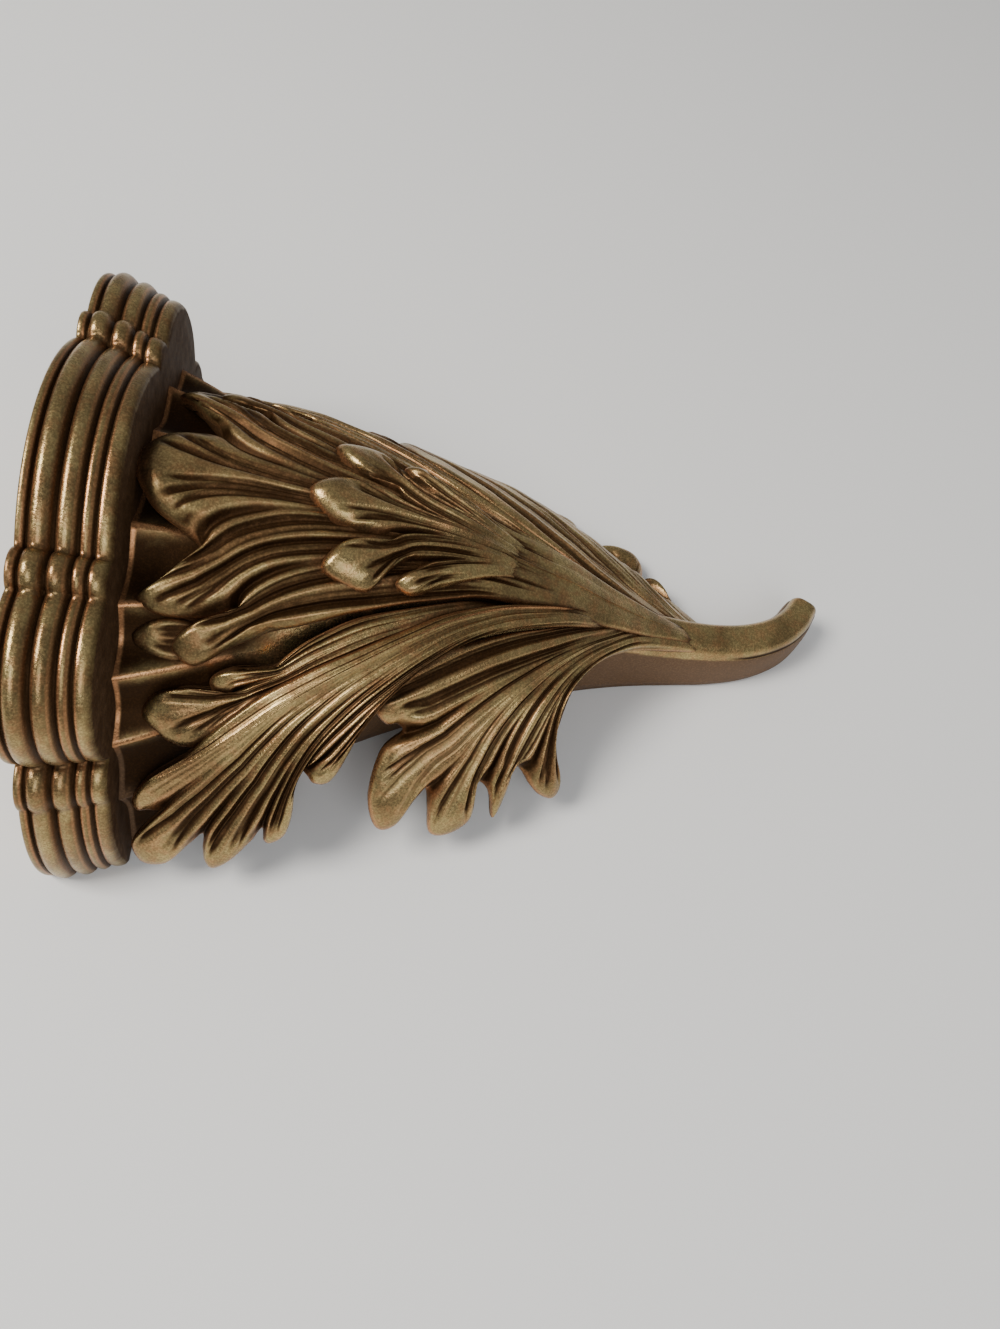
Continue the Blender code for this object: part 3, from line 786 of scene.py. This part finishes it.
def carve_bell():
    """The bell with its scalloped neck, the stem and the tail."""
    columns, rows = 176, 190
    mesh, s, t = grid(columns, rows)
    rings = np.array(CORE_RINGS, float)
    order = np.arange(len(rings))
    place = t * (len(rings) - 1)
    drop, x, lean, half_width, depth, square = (
        smooth_curve(place, order, rings[:, k]) for k in range(6))
    turn = s * pi
    fade = np.clip((SCALLOP_END - drop) / (SCALLOP_END - SHELF_THICKNESS), 0, 1)
    cut = 1 - SCALLOP_DEPTH * fade * np.abs(np.sin(SCALLOPS * turn)) / half_width
    side = np.sign(np.cos(turn)) * np.abs(np.cos(turn)) ** square
    across = half_width * cut * side
    outward = np.abs(side) - CREASE_PLACE
    crease = groove(outward, CREASE_WIDTH) * np.clip((drop - 188) / 10, 0, 1)
    away = depth * (cut - CREASE_DEPTH * crease) * np.sin(turn).clip(0, 1) ** square
    lean = np.radians(lean)
    points = to_world(x + across * np.cos(lean), away, drop - across * np.sin(lean))
    move_to(mesh.verts, points)
    # The neck's ridges and a line just under the shelf are painted copper as painted highlights;
    # the scoops between the ridges are painted dark umber.
    ridge = 1 - np.abs(np.sin(SCALLOPS * turn)) ** RIDGE_POWER
    under_shelf = groove(drop - SHELF_THICKNESS - 0.6, 0.6)
    neck = 1 - 1.3 * np.maximum(ridge, under_shelf)
    neck = neck * np.clip((NECK_GLAZE_END - drop) / 12, 0, 1)
    mark(mesh, mesh.verts, "cut", np.maximum(neck, crease))
    mark(mesh, mesh.verts, "bare", FLANK_BARE * np.clip(outward / 0.05, 0, 1))
    # A copper line beside the crease, a painted highlight.
    edge = groove(outward - 2 * CREASE_WIDTH, CREASE_WIDTH) * np.clip((drop - 186) / 10, 0, 1)
    rub_and_highlight = np.maximum(ridge * (drop < SCALLOP_END), under_shelf)
    mark(mesh, mesh.verts, "rub_and_highlight", np.maximum(rub_and_highlight, 0.8 * edge))
    mesh.verts.ensure_lookup_table()
    width = columns + 1
    for r in range(rows):
        mesh.faces.new([mesh.verts[k] for k in (
            r * width, (r + 1) * width, (r + 1) * width + columns, r * width + columns)])
    ends = [e for e in mesh.edges if e.is_boundary]
    bmesh.ops.holes_fill(mesh, edges=ends, sides=0)
    bmesh.ops.recalc_face_normals(mesh, faces=mesh.faces)
    return turned_out(mesh)


def measure_shelter(pieces):
    """Stores on every point how much of its view is blocked by carving close by; the paint turns
    sheltered points umber and bronze as painted shade.
    """
    trees = []
    for piece in pieces:
        mesh = bmesh.new()
        mesh.from_mesh(piece.data)
        trees.append(BVHTree.FromBMesh(mesh))
        mesh.free()
    golden = pi * (3 - 5 ** 0.5)
    rays = []
    for i in range(RAYS):
        height = 1 - (i + 0.5) / RAYS * 0.85
        level = (1 - height * height) ** 0.5
        rays.append((level * cos(golden * i), level * sin(golden * i), height))
    for piece in pieces:
        data = piece.data
        size = len(data.vertices)
        points = np.empty(size * 3)
        data.vertices.foreach_get("co", points)
        points = points.reshape(-1, 3)
        normal = np.empty(size * 3)
        data.vertices.foreach_get("normal", normal)
        normal = normal.reshape(-1, 3)
        edges = np.empty(len(data.edges) * 2, int)
        data.edges.foreach_get("vertices", edges)
        a, b = edges.reshape(-1, 2).T
        degree = np.bincount(a, minlength=size) + np.bincount(b, minlength=size)
        helper = np.where(np.abs(normal[:, 2:3]) < 0.9, [[0.0, 0.0, 1.0]], [[1.0, 0.0, 0.0]])
        first = unit(np.cross(normal, helper))
        second = np.cross(normal, first)
        shelter = np.zeros(size)
        starts = points + normal * 0.0002
        for ray in rays:
            aim = first * ray[0] + second * ray[1] + normal * ray[2]
            for i in range(size):
                for tree in trees:
                    hit = tree.ray_cast(starts[i], aim[i], SHELTER_REACH)
                    if hit[3] is not None:
                        shelter[i] += 1 - hit[3] / SHELTER_REACH
                        break
        shelter /= RAYS
        for step in range(2):
            total = np.bincount(a, shelter[b], size) + np.bincount(b, shelter[a], size)
            shelter = 0.5 * shelter + 0.5 * total / np.maximum(degree, 1)
        layer = data.attributes.new("shelter", "FLOAT", "POINT")
        layer.data.foreach_set("value", shelter.astype(np.float32))


def new_group(name, inputs, outputs):
    """An empty shader group; inputs are (name, kind, default), outputs (name, kind)."""
    group = bpy.data.node_groups.new(name, "ShaderNodeTree")
    for label, kind, default in inputs:
        socket = group.interface.new_socket(name=label, in_out="INPUT", socket_type=kind)
        socket.default_value = default
    for label, kind in outputs:
        group.interface.new_socket(name=label, in_out="OUTPUT", socket_type=kind)
    return group, group.nodes.new("NodeGroupInput"), group.nodes.new("NodeGroupOutput")


def add_math(tree, operation, *values):
    node = tree.nodes.new("ShaderNodeMath")
    node.operation = operation
    for socket, value in zip(node.inputs, values):
        if isinstance(value, (int, float)):
            socket.default_value = value
        else:
            tree.links.new(value, socket)
    return node.outputs[0]


def add_ramp(tree, value, low, high):
    """Maps low..high to 0..1 smoothly."""
    node = tree.nodes.new("ShaderNodeMapRange")
    node.interpolation_type = "SMOOTHSTEP"
    node.inputs["From Min"].default_value = low
    node.inputs["From Max"].default_value = high
    tree.links.new(value, node.inputs["Value"])
    return node.outputs["Result"]


def add_noise(tree, vector, scale, detail, roughness=0.55):
    node = tree.nodes.new("ShaderNodeTexNoise")
    node.inputs["Scale"].default_value = scale
    node.inputs["Detail"].default_value = detail
    node.inputs["Roughness"].default_value = roughness
    tree.links.new(vector, node.inputs["Vector"])
    return node.outputs["Fac"]


def add_mix(tree, factor, first, second):
    node = tree.nodes.new("ShaderNodeMix")
    node.data_type = "RGBA"
    tree.links.new(factor, node.inputs["Factor"])
    for label, value in (("A", first), ("B", second)):
        socket = [s for s in node.inputs if s.name == label and s.type == "RGBA"][0]
        if isinstance(value, bpy.types.NodeSocket):
            tree.links.new(value, socket)
        else:
            socket.default_value = (*value, 1.0)
    return [s for s in node.outputs if s.type == "RGBA"][0]


def carving_group():
    """Masks of the paint: glaze in hollows together with painted shade, rubbed places together
    with painted highlights, wide patches, clouds and grain.
    """
    group, _, out = new_group("Paint masks", (), (
        ("Glaze and shade", "NodeSocketFloat"), ("Rub and highlight", "NodeSocketFloat"), ("Bare", "NodeSocketFloat"),
        ("Open", "NodeSocketFloat"), ("Patch", "NodeSocketFloat"), ("Cloud", "NodeSocketFloat"),
        ("Grain", "NodeSocketFloat")))
    place = group.nodes.new("ShaderNodeTexCoord").outputs["Object"]
    layers = []
    for name in ("shelter",) + PAINT_LAYERS:
        node = group.nodes.new("ShaderNodeAttribute")
        node.attribute_name = name
        layers.append(node.outputs["Fac"])
    shelter, cut, rub_and_highlight, bare = layers
    wide = add_noise(group, place, 75.0, 5.0)
    cloud = add_noise(group, place, 260.0, 4.0, 0.65)
    grain = add_noise(group, place, 1700.0, 2.0, 0.7)
    ragged = add_math(group, "MULTIPLY_ADD", cloud, 0.5, -0.25)
    glaze_and_painted_shade = add_ramp(group, add_math(group, "ADD", cut, ragged), 0.12, 0.85)
    # Sheltered places turn umber as painted shade.
    sheltered_shade = add_ramp(group, add_math(group, "ADD", shelter, ragged), 0.14, 0.58)
    rub_and_highlight_mask = add_ramp(group, add_math(group, "ADD", rub_and_highlight, ragged), 0.15, 0.9)
    umber_glaze_and_shade = add_math(group, "MAXIMUM", glaze_and_painted_shade, sheltered_shade)
    umber_glaze_and_shade = add_math(group, "MULTIPLY", umber_glaze_and_shade, add_math(group, "MULTIPLY_ADD", rub_and_highlight_mask, -0.6, 1.0))
    # Open drops in sheltered places, so that gold gives way to bronze there as painted shade.
    clear = add_math(group, "SUBTRACT", 1.0, add_ramp(group, shelter, 0.0, 0.30))
    plain = add_ramp(group, add_math(group, "ADD", bare, ragged), 0.25, 0.75)
    for label, value in zip(("Glaze and shade", "Rub and highlight", "Bare", "Open", "Patch", "Cloud", "Grain"),
                            (umber_glaze_and_shade, rub_and_highlight_mask, plain, clear, wide, cloud, grain)):
        group.links.new(value, out.inputs[label])
    return group


def gilded_material(colours):
    """Antique gold paint: gold and bronze in random patches with bronze in sheltered places as
    painted shade, copper on rubs and painted highlights, umber for the glaze and for painted
    shade.
    """
    material = bpy.data.materials.new("Antique gilding")
    material.use_nodes = True
    tree = material.node_tree
    shader = tree.nodes["Principled BSDF"]
    masks = tree.nodes.new("ShaderNodeGroup")
    masks.node_tree = carving_group()
    umber_glaze_and_shade, rub_and_highlight, bare, clear, patch, cloud, grain = masks.outputs
    # Gold and bronze in random patches, and bronze in sheltered places as painted shade.
    gilt = add_math(tree, "MULTIPLY_ADD", add_ramp(tree, patch, 0.36, 0.64), 0.55, 0.4)
    gilt = add_math(tree, "MULTIPLY", gilt, clear)
    body = add_mix(tree, gilt, tuple(colours.bronze), tuple(colours.gold))
    pink = add_math(tree, "MULTIPLY", add_ramp(tree, cloud, 0.42, 0.68), 0.4)
    # Copper on rubs and painted highlights.
    pink = add_math(tree, "MAXIMUM", pink, add_math(tree, "MULTIPLY", rub_and_highlight, 0.75))
    body = add_mix(tree, pink, body, tuple(colours.copper))
    body = add_mix(tree, bare, body, tuple(colours.primer))
    # Umber for the glaze in hollows and for painted shade.
    glazed = add_mix(tree, umber_glaze_and_shade, body, tuple(colours.umber))
    speck = add_math(tree, "MULTIPLY_ADD", add_ramp(tree, grain, 0.4, 0.75), 0.6, 0.82)
    tint = tree.nodes.new("ShaderNodeVectorMath")
    tint.operation = "SCALE"
    tree.links.new(glazed, tint.inputs[0])
    tree.links.new(speck, tint.inputs["Scale"])
    tree.links.new(tint.outputs["Vector"], shader.inputs["Base Color"])
    rough = add_math(tree, "MULTIPLY_ADD", grain, 0.24, 0.16)
    rough = add_math(tree, "MULTIPLY_ADD", umber_glaze_and_shade, 0.25, rough)
    rough = add_math(tree, "MULTIPLY_ADD", bare, 0.25, rough)
    tree.links.new(rough, shader.inputs["Roughness"])
    shader.inputs["Specular IOR Level"].default_value = 0.12
    metal = add_math(tree, "MULTIPLY_ADD", umber_glaze_and_shade, -0.25, 0.88)
    metal = add_math(tree, "MULTIPLY", metal, add_math(tree, "MULTIPLY_ADD", bare, -0.8, 1.0))
    tree.links.new(metal, shader.inputs["Metallic"])
    bump = tree.nodes.new("ShaderNodeBump")
    bump.inputs["Strength"].default_value = 0.35
    bump.inputs["Distance"].default_value = 0.0002
    height = add_math(tree, "MULTIPLY_ADD", cloud, 1.5, grain)
    tree.links.new(height, bump.inputs["Height"])
    tree.links.new(bump.outputs["Normal"], shader.inputs["Normal"])
    return material


class CarveShelf(bpy.types.Operator):
    """Make the lobed and beaded shelf with its stepped moulding"""
    bl_idname = "corbel.carve_shelf"
    bl_label = "Carve shelf"

    def execute(self, context):
        add_piece(carve_shelf(), "shelf")
        return {"FINISHED"}


class CarveBell(bpy.types.Operator):
    """Make the scalloped bell, the stem and the curling tail"""
    bl_idname = "corbel.carve_bell"
    bl_label = "Carve bell and tail"

    def execute(self, context):
        add_piece(carve_bell(), "bell_and_tail")
        return {"FINISHED"}


class CarveLowerLeaves(bpy.types.Operator):
    """Make the two fans of lobes that spread from the stem"""
    bl_idname = "corbel.carve_lower_leaves"
    bl_label = "Carve lower leaves"

    def execute(self, context):
        sizes = context.scene.corbel_carving
        fans = (LOWER_LEFT_FAN, LOWER_RIGHT_FAN)
        meshes = [carve_fan(fan, sizes, i) for i, fan in enumerate(fans)]
        add_piece(joined(meshes), "lower_leaves")
        return {"FINISHED"}


class CarveUpperLeaves(bpy.types.Operator):
    """Make the two fans of lobes that reach up to the shelf's sides"""
    bl_idname = "corbel.carve_upper_leaves"
    bl_label = "Carve upper leaves"

    def execute(self, context):
        sizes = context.scene.corbel_carving
        fans = (UPPER_LEFT_FAN, UPPER_RIGHT_FAN)
        meshes = [carve_fan(fan, sizes, i + 2) for i, fan in enumerate(fans)]
        add_piece(joined(meshes), "upper_leaves")
        return {"FINISHED"}


class CarveCrownLeaves(bpy.types.Operator):
    """Make the middle fan and the recessed leaflets behind it"""
    bl_idname = "corbel.carve_crown_leaves"
    bl_label = "Carve crown leaves"

    def execute(self, context):
        sizes = context.scene.corbel_carving
        meshes = [carve_fan(CROWN_FAN, sizes, 4)]
        meshes += [carve_leaflet(leaflet, i) for i, leaflet in enumerate(LEAFLETS)]
        add_piece(joined(meshes), "crown_leaves")
        return {"FINISHED"}


class CarveFrontLeaves(bpy.types.Operator):
    """Make the small fan in front of the crown and the leaves beside it"""
    bl_idname = "corbel.carve_front_leaves"
    bl_label = "Carve front leaves"

    def execute(self, context):
        sizes = context.scene.corbel_carving
        fans = (FRONT_FAN, LEFT_SIDE_FAN, RIGHT_SIDE_FAN)
        meshes = [carve_fan(fan, sizes, i + 5) for i, fan in enumerate(fans)]
        add_piece(joined(meshes), "front_leaves")
        return {"FINISHED"}


class GildCasting(bpy.types.Operator):
    """Measure the carving and give every piece the antique gilding"""
    bl_idname = "corbel.gild_casting"
    bl_label = "Gild casting"

    def execute(self, context):
        pieces = [o for o in bpy.data.objects if o.get("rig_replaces")]
        measure_shelter(pieces)
        material = gilded_material(context.scene.corbel_gilding)
        for piece in pieces:
            piece.data.materials.clear()
            piece.data.materials.append(material)
        return {"FINISHED"}


def backdrop_material():
    """Pale matt surface, see-through from behind."""
    material = bpy.data.materials.new("Pale surface")
    material.use_nodes = True
    tree = material.node_tree
    shader = tree.nodes["Principled BSDF"]
    shader.inputs["Base Color"].default_value = (0.86, 0.85, 0.83, 1.0)
    shader.inputs["Roughness"].default_value = 0.75
    clear = tree.nodes.new("ShaderNodeBsdfTransparent")
    side = tree.nodes.new("ShaderNodeNewGeometry")
    mix = tree.nodes.new("ShaderNodeMixShader")
    tree.links.new(side.outputs["Backfacing"], mix.inputs["Fac"])
    tree.links.new(shader.outputs["BSDF"], mix.inputs[1])
    tree.links.new(clear.outputs["BSDF"], mix.inputs[2])
    tree.links.new(mix.outputs["Shader"], tree.nodes["Material Output"].inputs["Surface"])
    return material


def add_light(name, place, target, size, power, colour):
    data = bpy.data.lights.new(name, "AREA")
    data.shape = "RECTANGLE"
    data.size, data.size_y = size
    data.energy = power
    data.color = colour
    light = bpy.data.objects.new(name, data)
    bpy.context.scene.collection.objects.link(light)
    light.location = place
    light.rotation_mode = "QUATERNION"
    light.rotation_quaternion = (Vector(target) - Vector(place)).to_track_quat("-Z", "Y")
    return light


class SetStage(bpy.types.Operator):
    """Lay the corbel on a pale surface, light it softly and set the camera"""
    bl_idname = "corbel.set_stage"
    bl_label = "Set stage"

    def execute(self, context):
        scene = context.scene
        mesh = bmesh.new()
        bmesh.ops.create_grid(mesh, x_segments=1, y_segments=1, size=3.0)
        turn = Matrix.Rotation(radians(90), 4, "X")
        bmesh.ops.transform(mesh, matrix=turn, verts=mesh.verts)
        bmesh.ops.translate(mesh, vec=(0, 0.0012, 0), verts=mesh.verts)
        data = bpy.data.meshes.new("surface")
        mesh.to_mesh(data)
        mesh.free()
        surface = bpy.data.objects.new("surface", data)
        scene.collection.objects.link(surface)
        data.materials.append(backdrop_material())
        world = bpy.data.worlds.new("Soft room")
        world.use_nodes = True
        world.node_tree.nodes["Background"].inputs["Color"].default_value = (0.95, 0.97, 1.0, 1)
        world.node_tree.nodes["Background"].inputs["Strength"].default_value = 0.31
        scene.world = world
        middle = (0.0, -0.04, -0.06)
        add_light("Key", (-0.15, -1.1, 0.75), middle, (0.5, 0.5), 19.0, (1.0, 0.97, 0.92))
        add_light("Fill", (-0.9, -0.9, -0.3), middle, (0.8, 0.8), 6.0, (0.95, 0.97, 1.0))
        data = bpy.data.cameras.new("Camera")
        data.sensor_width = 36.0
        data.lens = 1040 / 1329 * 36.0
        data.clip_start = 0.01
        camera = bpy.data.objects.new("Camera", data)
        scene.collection.objects.link(camera)
        across = Vector((0.0219, -0.1584, -0.9871))
        down = Vector((-0.8755, 0.4737, -0.0954))
        ahead = Vector((0.4827, 0.8663, -0.1284))
        turn = Matrix((across, -down, -ahead)).transposed().to_4x4()
        camera.matrix_world = Matrix.Translation((-0.1622, -0.2873, -0.0388)) @ turn
        scene.camera = camera
        return {"FINISHED"}


class CorbelPanel(bpy.types.Panel):
    bl_idname = "VIEW3D_PT_corbel"
    bl_label = "Wall corbel"
    bl_space_type = "VIEW_3D"
    bl_region_type = "UI"
    bl_category = "Corbel"

    def draw(self, context):
        layout = self.layout
        for group in (context.scene.corbel_carving, context.scene.corbel_gilding):
            for name in group.bl_rna.properties.keys():
                if name not in {"rna_type", "name"}:
                    layout.prop(group, name)
        for operator in STEPS:
            layout.operator(operator.bl_idname)


STEPS = (
    CarveShelf,
    CarveBell,
    CarveLowerLeaves,
    CarveUpperLeaves,
    CarveCrownLeaves,
    CarveFrontLeaves,
    GildCasting,
    SetStage,
)
CLASSES = (CarvingSizes, GildingColours) + STEPS + (CorbelPanel,)


def register():
    for cls in CLASSES:
        bpy.utils.register_class(cls)
    bpy.types.Scene.corbel_carving = PointerProperty(type=CarvingSizes)
    bpy.types.Scene.corbel_gilding = PointerProperty(type=GildingColours)


def unregister():
    del bpy.types.Scene.corbel_gilding
    del bpy.types.Scene.corbel_carving
    for cls in reversed(CLASSES):
        bpy.utils.unregister_class(cls)


def main():
    register()
    bpy.ops.corbel.carve_shelf()
    bpy.ops.corbel.carve_bell()
    bpy.ops.corbel.carve_lower_leaves()
    bpy.ops.corbel.carve_upper_leaves()
    bpy.ops.corbel.carve_crown_leaves()
    bpy.ops.corbel.carve_front_leaves()
    bpy.ops.corbel.gild_casting()
    bpy.ops.corbel.set_stage()


if __name__ == "__main__":
    main()
